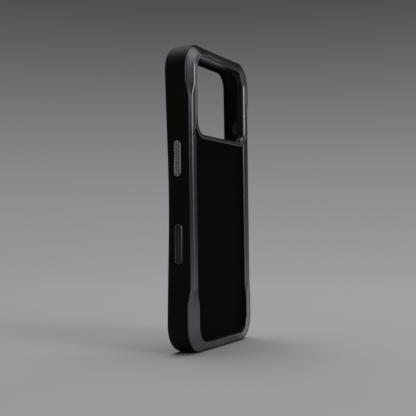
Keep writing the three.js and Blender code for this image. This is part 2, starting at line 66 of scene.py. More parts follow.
ORIGIN = Vector((0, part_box("trim_frame_left")[0].y, (CAD_LOW.z + CAD_HIGH.z) / 2))


def drawn_box(node):
    """A CAD node's lowest and highest corners in the drawing frame, in millimetres."""
    return [(corner - ORIGIN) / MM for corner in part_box(node)]


# ---- camera --------------------------------------------------------------------------------------

CAMERA_PLACE = (-433.85, -189.07, -16.68)
CAMERA_YAW = math.radians(65.55)
CAMERA_RISE = math.radians(1.48)
CAMERA_ROLL = math.radians(-0.69)
FOCAL_LENGTH = 76.41


def make_camera():
    camera = bpy.data.objects.new("camera", bpy.data.cameras.new("camera"))
    bpy.context.scene.collection.objects.link(camera)
    bpy.context.scene.camera = camera
    camera.data.sensor_width = 36
    camera.data.lens = FOCAL_LENGTH
    camera.data.clip_start = 0.01
    flat = math.cos(CAMERA_RISE)
    forward = Vector((math.sin(CAMERA_YAW) * flat, math.cos(CAMERA_YAW) * flat, math.sin(CAMERA_RISE)))
    level = Vector((math.cos(CAMERA_YAW), -math.sin(CAMERA_YAW), 0))
    above = level.cross(forward)
    right = level * math.cos(CAMERA_ROLL) + above * math.sin(CAMERA_ROLL)
    up = above * math.cos(CAMERA_ROLL) - level * math.sin(CAMERA_ROLL)
    turn = Matrix((right, up, -forward)).transposed()
    place = ORIGIN + Vector(CAMERA_PLACE) * MM
    camera.matrix_world = Matrix.Translation(place) @ turn.to_4x4()


make_camera()

# ---- driving dimensions, in millimetres ----------------------------------------------------------

HALF_WIDTH = CAD_HIGH.x / MM
HALF_HEIGHT = (CAD_HIGH.z - ORIGIN.z) / MM
OUTER_CORNER = 14.2
SIDE_WAIST = 2.5  # how far the sides draw in between the guards, at the back
LIP_WAIST = 2.2  # and at the lip
LIP_TAPER = 0.7  # how far the sides lean in from the back to the lip
TOP_WAIST = 0.4
SIDE_WALL = HALF_WIDTH - SIDE_WAIST

RING_LOW, RING_HIGH = drawn_box("camera_ring")
PANEL_LOW, PANEL_HIGH = drawn_box("back_panel")
CARRIER_HIGH = drawn_box("back_carrier")[1]
LINING_LOW, LINING_HIGH = drawn_box("lining")
TRIM_BOTTOM = drawn_box("trim_frame_left")[1].y
PHONE_THICKNESS = 8.75
GLASS = LINING_HIGH.y + PHONE_THICKNESS  # depth of the phone's screen
LIP = GLASS + 1.0
LIP_RISE = 0.3  # the lip stands higher at the corners
CARRIER_STEP = 1.55
CARRIER_CORNER = 9.2

POCKET_CORNER = 10.7
POCKET_HALF_WIDTH = LINING_HIGH.x + 0.4
POCKET_HALF_HEIGHT = LINING_HIGH.z + 0.4
WINDOW_HALF_WIDTH = PANEL_HIGH.x + 0.25
WINDOW_HALF_HEIGHT = 73.5
WINDOW_CORNER = 9.0

RING_WIDTH = {"side": 2.2, "bottom": 2.0, "top": 0.8, "corner": 1.2}
RING_CAP = 0.35  # thickness of the ring's flat cap
RING_SKIRT = 0.3  # the skirt's share of the ring's width
RING_GAP = 0.3
OPENING = {
    "half_width": RING_HIGH.x - RING_WIDTH["side"],
    "bottom": RING_LOW.z + RING_WIDTH["bottom"],
    "top": 72.4,
    "corner": 7.8,
}

RAIL_RIDGE = 35.0
HIGH_LIP = -0.9  # the trims' inner lip on the guards and beside the camera ring
LOW_LIP = -0.15  # and beside the panel
LIP_STEP = (34.3, 34.9)  # heights where it starts to rise, and is up
UPPER_GUARD = (51.2, 57.7)  # heights where a guard starts, and is full
LOWER_GUARD = (-45.7, -53.7)
SEAM_X = 18.1
SEAM_GAP = 0.3
RIM_WIDTH = 0.4
RIM = {"rail": 0.35, "guard": 0.95, "strip": 0.65}  # depth of the bumper's back edge
SLOPE = {"x": RAIL_RIDGE + 1.9, "rail": 0.32, "guard": 0.2}  # midway down to the outer edge
TRIM_CHAMFER = 0.18

BUTTON_DEPTH = 6.8
WEB_OUTER = SIDE_WALL - 1.25  # the thin wall behind a cap
WEB_INNER = SIDE_WALL - 1.65
BUTTON_GAP = 0.35
BEZEL_GAP = 0.1
BEZEL_WALL = 0.5
STEM = {"half_width": 0.9, "short": 2.0}  # a plunger's stem, and how much shorter it is than its pad
PAD_THICKNESS = 0.55
BUTTONS = ("power", "camera_control", "action", "volume_up", "volume_down")
KNURL = {"across": 1.27, "along": 1.4, "depth": 0.5, "width": 1.1, "above": 0.05}

CONNECTOR = {"half_width": 6.6, "half_depth": 3.2, "centre": 0}
SOUND_SLOT = {"half_width": 6.0, "half_depth": 1.3, "centre": 17.0}
EYELET = {"outer": 1.1, "bore": 0.55, "half_length": 1.2, "gap": 0.2, "edge": 0.2}

# ---- outlines and stations -----------------------------------------------------------------------

SIDE_REF = 64.0  # stations on a side run from -SIDE_REF to SIDE_REF
END_REF = 25.0
END_SPREAD = 19.0  # stations on an end keep their own x as far out as this
CORNER_STEPS = 26
RING_FOOT = (33, 41)  # heights of the lip's step and the ring's lower corners


def rect(half_width, half_height, corner):
    return {"half_width": half_width, "half_height": half_height, "corner": corner}


def inset(outline, by):
    return rect(outline["half_width"] - by, outline["half_height"] - by, outline["corner"] - by)


def halfway(a, b):
    return rect(*((a[size] + b[size]) / 2 for size in ("half_width", "half_height", "corner")))


OUTER = rect(HALF_WIDTH, HALF_HEIGHT, OUTER_CORNER)
AT_LIP = rect(HALF_WIDTH - LIP_TAPER, HALF_HEIGHT, OUTER_CORNER)
POCKET = rect(POCKET_HALF_WIDTH, POCKET_HALF_HEIGHT, POCKET_CORNER)
WINDOW = rect(WINDOW_HALF_WIDTH, WINDOW_HALF_HEIGHT, WINDOW_CORNER)
BESIDE_RING = rect(RING_HIGH.x + RING_GAP + 0.05, WINDOW_HALF_HEIGHT, WINDOW_CORNER + RING_GAP)
CARRIER_EDGE = rect(CARRIER_HIGH.x, CARRIER_HIGH.z, CARRIER_CORNER)


def spaced(marks, step):
    """The marks, with evenly spaced values put between them so that none is further than step apart."""
    out = [marks[0]]
    for a, b in zip(marks, marks[1:]):
        count = max(1, math.ceil(abs(b - a) / step))
        out += [a + (b - a) * i / count for i in range(1, count + 1)]
    return out


FINE_SIDE = sorted(set(
    spaced([-SIDE_REF, LOWER_GUARD[1] - 2, LOWER_GUARD[0] + 2, *RING_FOOT, UPPER_GUARD[0] - 2,
            UPPER_GUARD[1] + 2, SIDE_REF], 2.4)
    + spaced([LOWER_GUARD[1] - 2, LOWER_GUARD[0] + 2], 0.5)
    + spaced([UPPER_GUARD[0] - 2, UPPER_GUARD[1] + 2], 0.5)
    + spaced(RING_FOOT, 0.25)
))
FINE_END = spaced([END_REF, SEAM_X + 1.2, SEAM_X - 1.2, 0], 1.6)
FINE_END = sorted(set(FINE_END + spaced([SEAM_X + 1.2, SEAM_X - 1.2], 0.15)), reverse=True)
FINE_END = FINE_END + [-x for x in reversed(FINE_END[:-1])]


class Stations:
    """Places round a rounded rectangle: on a side, on an end (top or bottom), or in a corner."""

    def __init__(self, rows):
        self.side = np.array([row[0] == "side" for row in rows])
        self.end = np.array([row[0] == "end" for row in rows])
        self.sign_x = np.array([row[1] for row in rows], float)
        self.sign_z = np.array([row[2] for row in rows], float)
        self.value = np.array([row[3] for row in rows], float)

    def on(self, outline, pull=0.0):
        """Points (x, z) on an outline, drawn in by pull on its sides and ends."""
        cx, cz = outline["half_width"] - outline["corner"], outline["half_height"] - outline["corner"]
        corner_x = self.sign_x * (cx + outline["corner"] * np.cos(self.value))
        corner_z = self.sign_z * (cz + outline["corner"] * np.sin(self.value))
        x = np.where(self.side, self.sign_x * (outline["half_width"] - pull), corner_x)
        spread_out = np.clip((np.abs(self.value) - END_SPREAD) / (END_REF - END_SPREAD), 0, 1)
        x = np.where(self.end, self.value * (1 + (cx / END_REF - 1) * spread_out), x)
        z = np.where(self.side, self.value * cz / SIDE_REF, corner_z)
        z = np.where(self.end, self.sign_z * (outline["half_height"] - pull), z)
        return x, z


def corner_rows(sign_x, sign_z, forward):
    angles = [math.pi / 2 * i / CORNER_STEPS for i in range(1, CORNER_STEPS)]
    return [("corner", sign_x, sign_z, a) for a in (angles if forward else reversed(angles))]


def all_round():
    rows = [("side", 1, 0, z) for z in FINE_SIDE] + corner_rows(1, 1, True)
    rows += [("end", 0, 1, x) for x in FINE_END] + corner_rows(-1, 1, False)
    rows += [("side", -1, 0, z) for z in reversed(FINE_SIDE)] + corner_rows(-1, -1, True)
    rows += [("end", 0, -1, x) for x in reversed(FINE_END)] + corner_rows(1, -1, False)
    return Stations(rows)


def right_run(start_x, chamfer):
    """From the seam on the bottom, up the right side, to the seam on the top."""
    xs = [x for x in FINE_END if x > start_x + chamfer + 0.05] + [start_x + chamfer, start_x]
    rows = [("end", 0, -1, x) for x in reversed(xs)] + corner_rows(1, -1, False)
    rows += [("side", 1, 0, z) for z in FINE_SIDE] + corner_rows(1, 1, True)
    rows += [("end", 0, 1, x) for x in xs]
    return Stations(rows)


def soft_ramp(value, start, end, ease=0.9):
    """0 before start and 1 after end, straight between, with its two corners eased."""
    sign = 1 if end > start else -1
    offsets = np.linspace(-ease, ease, 7)
    total = 0
    for offset in offsets:
        total = total + np.clip((sign * (value + offset) - sign * start) / abs(end - start), 0, 1)
    return total / len(offsets)


def guard_share(stations):
    upper = soft_ramp(stations.value, *UPPER_GUARD)
    lower = soft_ramp(stations.value, *LOWER_GUARD)
    return np.where(stations.side, np.maximum(upper, lower), 1.0)


def lip_waist(share):
    """The smooth waist at the lip: share is 0 at the middle of a side, and 1 at its ends."""
    return LIP_WAIST * (1 - (share ** 1.6 + (1 - np.cos(np.pi * share)) / 2) / 2)


def waist(stations, stepped):
    """How far an outer point is drawn in: smooth at the lip, stepped beside the guards."""
    share = np.clip(np.abs(stations.value) / SIDE_REF, 0, 1)
    step = SIDE_WAIST * (1 - guard_share(stations))
    sides = stepped * step + (1 - stepped) * lip_waist(share)
    ends = np.where(stations.sign_z > 0, TOP_WAIST * (1 - (stations.value / END_REF) ** 2), 0)
    return np.where(stations.side, sides, np.where(stations.end, ends, 0))


# ---- mesh helpers --------------------------------------------------------------------------------

def new_object(name, mesh):
    obj = bpy.data.objects.new(name, mesh)
    bpy.context.scene.collection.objects.link(obj)
    return obj


def mesh_object(name, vertices, faces):
    mesh = bpy.data.meshes.new(name)
    mesh.from_pydata([tuple(v) for v in vertices], [], faces)
    mesh.validate()
    return new_object(name, mesh)


def fillet(points, radii, steps=4):
    """Rounds the corners of closed sections. points is (sections, corners, 3)."""
    columns = []
    count = points.shape[1]
    for k in range(count):
        here = points[:, k]
        if radii[k] <= 0:
            columns.append(here)
            continue
        before = points[:, (k - 1) % count] - here
        after = points[:, (k + 1) % count] - here
        length_before = np.linalg.norm(before, axis=1, keepdims=True)
        length_after = np.linalg.norm(after, axis=1, keepdims=True)
        start = here + before / length_before * np.minimum(radii[k], 0.48 * length_before)
        finish = here + after / length_after * np.minimum(radii[k], 0.48 * length_after)
        for i in range(steps + 1):
            t = i / steps
            columns.append((1 - t) ** 2 * start + 2 * t * (1 - t) * here + t ** 2 * finish)
    return np.stack(columns, axis=1)


def loft(name, rows, closed_run=True, cap_chamfer=0.0):
    """A closed solid through sections. rows is (sections, points, 3)."""
    sections, count = rows.shape[:2]
    if not closed_run and cap_chamfer:
        rows = rows.copy()
        for end in (0, -1):
            middle = rows[end].mean(axis=0)
            away = rows[end] - middle
            length = np.linalg.norm(away, axis=1, keepdims=True)
            rows[end] = middle + away * np.maximum(0.5, 1 - cap_chamfer / np.maximum(length, 1e-6))
    faces = []
    for i in range(sections if closed_run else sections - 1):
        j = (i + 1) % sections
        for k in range(count):
            m = (k + 1) % count
            faces.append((i * count + k, i * count + m, j * count + m, j * count + k))
    if not closed_run:
        faces.append(tuple(range(count))[::-1])
        faces.append(tuple(range((sections - 1) * count, sections * count)))
    return mesh_object(name, rows.reshape(-1, 3), faces)


def stack(name, loops):
    """A closed solid through a pile of matching loops, capped at both ends."""
    rows = np.array(loops)
    count = rows.shape[1]
    faces = []
    for i in range(len(rows) - 1):
        for k in range(count):
            m = (k + 1) % count
            faces.append((i * count + k, i * count + m, (i + 1) * count + m, (i + 1) * count + k))
    faces.append(tuple(range(count))[::-1])
    faces.append(tuple(range((len(rows) - 1) * count, len(rows) * count)))
    obj = mesh_object(name, rows.reshape(-1, 3), faces)
    face_outwards(obj)
    return obj


def face_outwards(obj):
    work = bmesh.new()
    work.from_mesh(obj.data)
    bmesh.ops.recalc_face_normals(work, faces=work.faces)
    work.to_mesh(obj.data)
    work.free()


def bake_modifiers(obj):
    view = bpy.context.evaluated_depsgraph_get()
    mesh = bpy.data.meshes.new_from_object(obj.evaluated_get(view))
    obj.modifiers.clear()
    obj.data = mesh


def boolean(obj, others, operation="DIFFERENCE"):
    for other in others:
        modifier = obj.modifiers.new("boolean", "BOOLEAN")
        modifier.operation = operation
        modifier.solver = "EXACT"
        modifier.object = other
    bpy.context.view_layer.update()
    bake_modifiers(obj)
    for other in others:
        bpy.data.objects.remove(other)


def join_objects(objects):
    """One object from several that don't touch."""
    work = bmesh.new()
    for obj in objects:
        work.from_mesh(obj.data)
    mesh = bpy.data.meshes.new(objects[0].name)
    work.to_mesh(mesh)
    work.free()
    joined = new_object(objects[0].name, mesh)
    for obj in objects:
        bpy.data.objects.remove(obj)
    return joined


def place(obj, body, material, nodes, slot, sharp=35, weighted=False):
    """Puts a drawn piece in the row frame, on its body, for its CAD nodes, with its material."""
    turn = Matrix.Translation(ORIGIN) @ Matrix.Scale(MM, 4)
    obj.data.transform(turn)
    obj.data.shade_smooth()
    obj.data.set_sharp_from_angle(angle=math.radians(sharp))
    obj.data.materials.clear()
    obj.data.materials.append(material)
    if weighted:
        modifier = obj.modifiers.new("weighted", "WEIGHTED_NORMAL")
        modifier.keep_sharp = True
        modifier.weight = 80
    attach(obj, body)
    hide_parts(*nodes)
    return obj


def rounded_loop(half_width, low, high, corner, steps=CORNER_STEPS):
    """Points (x, z) round a rounded rectangle, counter-clockwise from its right side."""
    cx, cz_high, cz_low = half_width - corner, high - corner, low + corner
    points = []
    for start, x, z in ((0, cx, cz_high), (1, -cx, cz_high), (2, -cx, cz_low), (3, cx, cz_low)):
        for i in range(steps + 1):
            angle = math.pi / 2 * (start + i / steps)
            points.append((x + corner * math.cos(angle), z + corner * math.sin(angle)))
    return points


def at_depth(loop, depth):
    return [(x, depth, z) for x, z in loop]


def camera_loop(share, extra=0.0):
    """The camera opening's outline at share 0, the ring's outer edge at share 1, grown by extra."""
    return rounded_loop(
        OPENING["half_width"] + RING_WIDTH["side"] * share + extra,
        OPENING["bottom"] - RING_WIDTH["bottom"] * share - extra,
        OPENING["top"] + RING_WIDTH["top"] * share + extra,
        OPENING["corner"] + RING_WIDTH["corner"] * share + extra,
    )


def slot_loop(half_width, half_length, steps=14):
    """Points (depth, z) round an upright slot with half-round ends, about its middle."""
    straight = half_length - half_width
    points = []
    for start, z in ((0, straight), (1, -straight)):
        for i in range(steps + 1):
            angle = math.pi * (start + i / steps)
            points.append((half_width * math.cos(angle), z + half_width * math.sin(angle)))
    return points


def slot_stack(name, side, z, levels, half_width, half_length):
    """A slot-shaped solid across the case: levels are (x, grow), from the inside out."""
    loops = []
    for x, grow in levels:
        loop = slot_loop(half_width + grow, half_length + grow)
        loops.append([(side * x, BUTTON_DEPTH + depth, z + dz) for depth, dz in loop])
    return stack(name, loops)


# ---- materials -----------------------------------------------------------------------------------

def new_material(name, colour, roughness, metallic=0.0, specular=0.5):
    material = bpy.data.materials.new(name)
    material.use_nodes = True
    shader = material.node_tree.nodes["Principled BSDF"]
    shader.inputs["Base Color"].default_value = (*colour, 1)
    shader.inputs["Roughness"].default_value = roughness
    shader.inputs["Metallic"].default_value = metallic
    shader.inputs["Specular IOR Level"].default_value = specular
    return material


def add_node(material, kind, settings=None, **links):
    node = material.node_tree.nodes.new(kind)
    for key, value in (settings or {}).items():
        if key in node.inputs:
            node.inputs[key].default_value = value
        else:
            setattr(node, key, value)
    for socket, source in links.items():
        material.node_tree.links.new(source, node.inputs[socket.replace("_", " ")])
    return node


def noise(material, scale, detail=3.0, roughness=0.5):
    """A noise texture in row-frame millimetres: scale is features per millimetre."""
    coordinates = add_node(material, "ShaderNodeTexCoord").outputs["Object"]
    mapping = add_node(material, "ShaderNodeMapping", Vector=coordinates)
    mapping.inputs["Scale"].default_value = [scale / MM] * 3
    return add_node(
        material, "ShaderNodeTexNoise",
        {"Scale": 1.0, "Detail": detail, "Roughness": roughness}, Vector=mapping.outputs["Vector"],
    ).outputs["Fac"]


def spread(material, source, low, high):
    """Maps a noise's middle range to low..high."""
    node = add_node(
        material, "ShaderNodeMapRange",
        {"From Min": 0.3, "From Max": 0.7, "To Min": low, "To Max": high}, Value=source,
    )
    return node.outputs["Result"]


def drive(material, socket, source):
    shader = material.node_tree.nodes["Principled BSDF"]
    material.node_tree.links.new(source, shader.inputs[socket])


def drive_bump(material, height, strength, distance_mm):
    node = add_node(
        material, "ShaderNodeBump", {"Strength": strength, "Distance": distance_mm * MM},
        Height=height,
    )
    drive(material, "Normal", node.outputs["Normal"])


def colour_between(material, source, first, second):
    node = add_node(material, "ShaderNodeMix", {"data_type": "RGBA"})
    colour_inputs = [s for s in node.inputs if s.type == "RGBA"]
    colour_inputs[0].default_value = (*first, 1)
    colour_inputs[1].default_value = (*second, 1)
    material.node_tree.links.new(source, node.inputs[0])
    return next(s for s in node.outputs if s.type == "RGBA")


def rubber_material():
    material = new_material("bumper_rubber", (0.0055, 0.0052, 0.0045), 0.62, specular=0.12)
    broad = noise(material, 0.05, 2)
    fine = noise(material, 5.0, 3)
    drive(material, "Roughness", spread(material, broad, 0.56, 0.68))
    tint = colour_between(material, broad, (0.0048, 0.0046, 0.0040), (0.0062, 0.0058, 0.0050))
    drive(material, "Base Color", tint)
    drive_bump(material, fine, 0.35, 0.03)
    return material


def gunmetal_material():
    material = new_material("gunmetal", (0.19, 0.198, 0.214), 0.26, metallic=1.0)
    fine = noise(material, 7.0, 4, 0.6)
    broad = noise(material, 0.08, 2)
    tint = colour_between(material, broad, (0.178, 0.186, 0.205), (0.198, 0.206, 0.222))
    drive(material, "Base Color", tint)
    drive(material, "Roughness", spread(material, fine, 0.22, 0.30))
    drive_bump(material, fine, 0.12, 0.008)
    return material


def panel_material():
    material = new_material("panel_black", (0.0024, 0.0024, 0.0021), 0.72, specular=0.03)
    grain = noise(material, 4.0, 4, 0.6)
    drive(material, "Roughness", spread(material, grain, 0.66, 0.78))
    drive_bump(material, grain, 0.4, 0.02)
    return material


def hard_black_material():
    material = new_material("hard_black", (0.006, 0.006, 0.0058), 0.5, specular=0.3)
    fine = noise(material, 3.0, 3)
    drive(material, "Roughness", spread(material, fine, 0.44, 0.58))
    drive_bump(material, fine, 0.25, 0.02)
    return material


def button_metal_material():
    material = new_material("button_metal", (0.30, 0.305, 0.32), 0.3, metallic=1.0)
    fine = noise(material, 9.0, 4, 0.6)
    drive(material, "Roughness", spread(material, fine, 0.24, 0.38))
    drive_bump(material, fine, 0.2, 0.008)
    return material


def dark_metal_material():
    material = new_material("dark_metal", (0.16, 0.165, 0.175), 0.34, metallic=1.0)
    fine = noise(material, 8.0, 4, 0.6)
    drive(material, "Roughness", spread(material, fine, 0.28, 0.40))
    drive_bump(material, fine, 0.15, 0.01)
    return material


def grey_plastic_material():
    material = new_material("grey_plastic", (0.030, 0.030, 0.031), 0.42, specular=0.4)
    fine = noise(material, 6.0, 3)
    drive(material, "Roughness", spread(material, fine, 0.36, 0.48))
    drive_bump(material, fine, 0.15, 0.012)
    return material


def lining_material():
    material = new_material("lining_cloth", (0.012, 0.012, 0.0125), 0.95, specular=0.1)
    shader = material.node_tree.nodes["Principled BSDF"]
    shader.inputs["Sheen Weight"].default_value = 0.25
    shader.inputs["Sheen Roughness"].default_value = 0.6
    shader.inputs["Sheen Tint"].default_value = (0.25, 0.25, 0.27, 1)
    nap = noise(material, 3.0, 5, 0.7)
    patch = noise(material, 0.12, 3)
    tint = colour_between(material, patch, (0.010, 0.010, 0.0105), (0.015, 0.015, 0.016))
    drive(material, "Base Color", tint)
    drive_bump(material, nap, 0.7, 0.05)
    return material


def magnet_material():
    material = new_material("magnet_metal", (0.55, 0.54, 0.52), 0.28, metallic=1.0)
    fine = noise(material, 2.0, 4)
    drive(material, "Roughness", spread(material, fine, 0.22, 0.36))
    drive_bump(material, fine, 0.1, 0.01)
    return material


RUBBER = rubber_material()
GUNMETAL = gunmetal_material()
PANEL_BLACK = panel_material()
HARD_BLACK = hard_black_material()
BUTTON_METAL = button_metal_material()
DARK_METAL = dark_metal_material()
GREY_PLASTIC = grey_plastic_material()
LINING_CLOTH = lining_material()
MAGNET_METAL = magnet_material()

# ---- the soft shell ------------------------------------------------------------------------------

def shell_rows(stations):
    """The bumper's section at every station: (outline, depth, share of the stepped waist, radius)."""
    near_seam = np.clip((np.abs(stations.value) - SEAM_X + 0.3) / 0.6, 0, 1)
    on_side = RIM["rail"] + (RIM["guard"] - RIM["rail"]) * guard_share(stations)
    on_end = RIM["strip"] + (RIM["guard"] - RIM["strip"]) * near_seam
    rim = np.where(stations.end, on_end, on_side)
    rise = LIP_RISE * (1 - waist(stations, 0) / LIP_WAIST)
    crown = 0.12
    corners = [
        (inset(OUTER, RIM_WIDTH), rim, 1, 0.1),
        (inset(OUTER, crown), rim, 1, 0.25),
        (inset(OUTER, crown), 3.0 + 0 * rim, 0.8, 1.0),
        (inset(halfway(OUTER, AT_LIP), 0.02), BUTTON_DEPTH + 0 * rim, 0.5, 1.5),
        (inset(AT_LIP, crown * 0.3), GLASS - 1.0 + 0 * rim, 0, 1.2),
        (inset(AT_LIP, 0.75), GLASS + 0.55 + rise, 0, 0.9),
        (inset(AT_LIP, 2.0), LIP + rise, 0, 0.8),
        (inset(POCKET, 0.9), LIP + rise, None, 0.5),
        (inset(POCKET, 2.1), LIP - 0.35 + rise, None, 0.3),
        (inset(POCKET, 1.9), GLASS + 0.15 + 0 * rim, None, 0.2),
        (POCKET, GLASS + 0.05 + 0 * rim, None, 0.6),
        (POCKET, CARRIER_HIGH.y + 0 * rim, None, 0.4),
        (inset(CARRIER_EDGE, -RING_GAP), CARRIER_HIGH.y + 0 * rim, None, 0.1),
        (inset(CARRIER_EDGE, -RING_GAP), CARRIER_STEP + 0 * rim, None, 0.1),
        (inset(OUTER, RIM_WIDTH), CARRIER_STEP + 0 * rim, 1, 0.1),
    ]
    columns, radii = [], []
    for outline, depth, stepped, radius in corners:
        x, z = stations.on(outline, 0 if stepped is None else waist(stations, stepped))
        columns.append(np.stack([x, depth, z], axis=1))
        radii.append(radius)
    return np.stack(columns, axis=1), radii


def mouth_levels(x_from, x_wall, radius=0.35, steps=4):
    """A straight bore that flares into a rounded edge at the wall."""
    levels = [(x_from, 0.0), (x_wall - radius, 0.0)]
    for i in range(1, steps + 1):
        angle = math.pi / 2 * i / steps
        levels.append((x_wall - radius + radius * math.sin(angle), radius * (1 - math.cos(angle))))
    levels.append((x_wall + 0.25, radius + 0.3))
    levels.append((x_wall + 2.0, radius + 0.3))
    return levels


def half_sizes(node):
    """Half of a node's depth, half of its height, and the height of its middle."""
    low, high = drawn_box(node)
    return (high.y - low.y) / 2, (high.z - low.z) / 2, (high.z + low.z) / 2


def wall_x(z):
    """Where the side wall's outside is, at the buttons' depth."""
    smooth = float(lip_waist(abs(z) / SIDE_REF))
    return HALF_WIDTH - LIP_TAPER / 2 - smooth / 2 - SIDE_WAIST / 2


def button_cutters(name):
    side = 1 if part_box(f"{name}_button_cap")[0].x > 0 else -1
    outer = "camera_control_bezel" if name == "camera_control" else f"{name}_button_cap"
    gap = BEZEL_GAP if name == "camera_control" else BUTTON_GAP
    width, length, z = half_sizes(outer)
    pad_width, pad_length, _ = half_sizes(f"{name}_button_plunger")
    bore = slot_stack("cutter", side, z, mouth_levels(WEB_OUTER, wall_x(z)), width + gap, length + gap)
    stem = slot_stack(
        "cutter", side, z, [(WEB_INNER - 0.2, 0), (WEB_OUTER + 0.2, 0)],
        STEM["half_width"] + BUTTON_GAP, pad_length - STEM["short"] + BUTTON_GAP,
    )
    recess = slot_stack(
        "cutter", side, z, [(POCKET_HALF_WIDTH - 0.6, 0.5), (POCKET_HALF_WIDTH + 0.02, 0.12),
                            (POCKET_HALF_WIDTH + 0.12, 0), (WEB_INNER, 0)],
        pad_width + BUTTON_GAP, pad_length + BUTTON_GAP,
    )
    return [bore, stem, recess]


def bottom_cutter(slot, side=1):
    """A slot through the bottom wall, with a rounded mouth."""
    middle = (LINING_HIGH.y + GLASS) / 2
    centre_x = side * slot["centre"]
    inside = -72.0
    levels = [(inside, 0.0), (-HALF_HEIGHT + 0.5, 0.0), (-HALF_HEIGHT + 0.25, 0.07),
              (-HALF_HEIGHT + 0.07, 0.25), (-HALF_HEIGHT, 0.5), (-HALF_HEIGHT - 1, 0.7)]
    loops = []
    for z, grow in levels:
        loop = slot_loop(slot["half_depth"] + grow, slot["half_width"] + grow)
        loops.append([(centre_x + along, middle + across, z) for across, along in loop])
    return stack("cutter", loops)


def eyelet_place():
    """The eyelet's middle, and the turn that points its bore out of the pocket's corner."""
    low, high = drawn_box("strap_eyelet")
    middle = (low + high) / 2
    corner = POCKET["corner"]
    centre = Vector((POCKET["half_width"] - corner, middle.y, POCKET["half_height"] - corner))
    axis = (middle - centre).normalized()
    return middle, axis.to_track_quat("Z", "Y").to_matrix()


def eyelet_cutter():
    middle, spin = eyelet_place()
    radius = EYELET["outer"] + EYELET["gap"]
    reach = 4.0
    loops = []
    for along in (-reach, reach):
        angles = np.linspace(0, 2 * math.pi, 25)[:-1]
        loops.append([
            tuple(middle + spin @ Vector((radius * math.cos(a), radius * math.sin(a), along)))
            for a in angles
        ])
    return stack("cutter", loops)


def make_bumper():
    rows, radii = shell_rows(all_round())
    bumper = loft("bumper_body", fillet(rows, radii))
    cutters = []
    for name in BUTTONS:
        cutters += button_cutters(name)
    cutters.append(bottom_cutter(CONNECTOR))
    cutters.append(bottom_cutter(SOUND_SLOT))
    cutters.append(bottom_cutter(SOUND_SLOT, side=-1))
    cutters.append(eyelet_cutter())
    boolean(bumper, cutters)
    place(bumper, "case", RUBBER, ["bumper_shell"], "bumper_rubber", sharp=38, weighted=True)


def make_eyelet():
    middle, spin = eyelet_place()
    bore, outer, half = EYELET["bore"], EYELET["outer"], EYELET["half_length"]
    profile = np.array([[(bore, 0, -half), (outer, 0, -half), (outer, 0, half), (bore, 0, half)]], float)
    section = fillet(profile, [EYELET["edge"]] * 4)[0]
    rows = []
    for angle in np.linspace(0, 2 * math.pi, 33)[:-1]:
        ring = []
        for radius, _, along in section:
            offset = Vector((radius * math.cos(angle), radius * math.sin(angle), along))
            ring.append(tuple(middle + spin @ offset))
        rows.append(ring)
    eyelet = loft("eyelet_ring", np.array(rows))
    face_outwards(eyelet)
    place(eyelet, "case", GREY_PLASTIC, ["strap_eyelet"], "grey_plastic")


# ---- the hard back -------------------------------------------------------------------------------

def outline_loop(outline):
    half_height = outline["half_height"]
    return rounded_loop(outline["half_width"], -half_height, half_height, outline["corner"])


def make_carrier():
    plate = stack("carrier_plate", [
        at_depth(outline_loop(inset(CARRIER_EDGE, 0.15)), CARRIER_STEP),
        at_depth(outline_loop(CARRIER_EDGE), CARRIER_STEP + 0.15),
        at_depth(outline_loop(CARRIER_EDGE), CARRIER_HIGH.y),
    ])
    seat = rect(PANEL_HIGH.x - 0.1, WINDOW_HALF_HEIGHT - 0.35, WINDOW_CORNER - 0.3)
    plateau = stack("plateau", [
        at_depth(outline_loop(seat), PANEL_HIGH.y + 0.1),
        at_depth(outline_loop(seat), CARRIER_STEP + 0.2),
    ])
    cap = RING_LOW.y + RING_CAP + 0.05
    wall = stack("wall", [
        at_depth(camera_loop(1, -0.25), cap),
        at_depth(camera_loop(1, -0.1), cap + 0.15),
        at_depth(camera_loop(1, -0.1), CARRIER_STEP + 0.2),
    ])
    skirt_seat = stack("skirt_seat", [
        at_depth(camera_loop(RING_SKIRT, 0.05), cap - 1),
        at_depth(camera_loop(RING_SKIRT, 0.05), RING_HIGH.y + 0.05),
    ])
    hole = stack("hole", [
        at_depth(camera_loop(0, 0.2), RING_HIGH.y - 1),
        at_depth(camera_loop(0, 0.05), CARRIER_HIGH.y - 0.2),
        at_depth(camera_loop(0, 0.35), CARRIER_HIGH.y + 0.1),
    ])
    boolean(plate, [plateau, wall], "UNION")
    boolean(plate, [skirt_seat, hole])
    place(plate, "case", HARD_BLACK, ["back_carrier"], "hard_black", weighted=True)


def make_panel():
    """The panel stops at the camera ring, and its top corners reach up beside the ring's."""
    edge = 0.18
    top = OPENING["bottom"] + OPENING["corner"]
    corner = WINDOW_CORNER - 0.2
    low = PANEL_LOW.z

    def loop(shrink):
        half = PANEL_HIGH.x - shrink
        lower = rounded_loop(half, low + shrink, top, corner - shrink)
        quarter = CORNER_STEPS + 1
        return [(half, top), (-half, top)] + lower[2 * quarter:]

    panel = stack("panel_plate", [
        at_depth(loop(edge), PANEL_LOW.y),
        at_depth(loop(edge * 0.3), PANEL_LOW.y + edge * 0.3),
        at_depth(loop(0), PANEL_LOW.y + edge),
        at_depth(loop(0), PANEL_HIGH.y),
    ])
    cutter = stack("cutter", [
        at_depth(camera_loop(1, RING_GAP + edge), PANEL_LOW.y - 1),
        at_depth(camera_loop(1, RING_GAP + edge), PANEL_LOW.y),
        at_depth(camera_loop(1, RING_GAP), PANEL_LOW.y + edge),
        at_depth(camera_loop(1, RING_GAP), PANEL_HIGH.y + 1),
    ])
    boolean(panel, [cutter])
    place(panel, "case", PANEL_BLACK, ["back_panel"], "panel_black", weighted=True)


